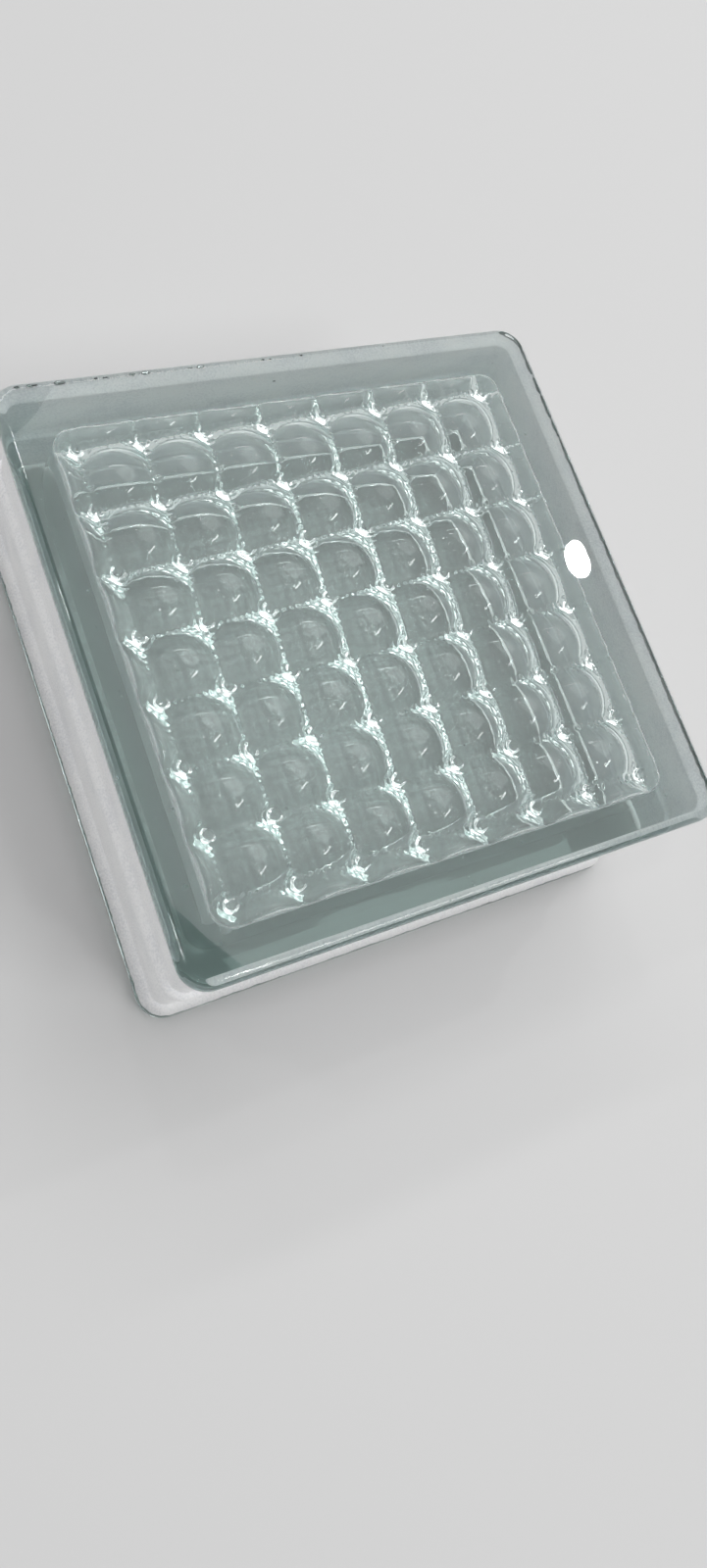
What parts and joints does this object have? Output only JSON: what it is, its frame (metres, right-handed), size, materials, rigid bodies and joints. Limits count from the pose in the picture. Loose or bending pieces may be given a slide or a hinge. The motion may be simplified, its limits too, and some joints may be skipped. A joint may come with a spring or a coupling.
{
  "type": "glass block",
  "caption": "Square hollow building block of clear pressed glass, with a dimpled lattice inside both faces, a mortar channel round its sides and a white sprayed edge coat.",
  "frame": {"origin": "on the floor, under the middle of the block as it lies flat", "axes": "+Z from the back face to the front face, through the thickness; +X and +Y along the sides of the square"},
  "size_m": [0.19, 0.19, 0.08],
  "materials": {
    "clear_glass": "clear soda-lime glass, fire-polished, with a slight green tint",
    "white_coat": "matt sprayed polymer coat with a fine gritty surface"
  },
  "bodies": {
    "root": {"front_shell": "clear_glass", "back_shell": "clear_glass", "edge_coat": "white_coat"}
  },
  "joints": []
}
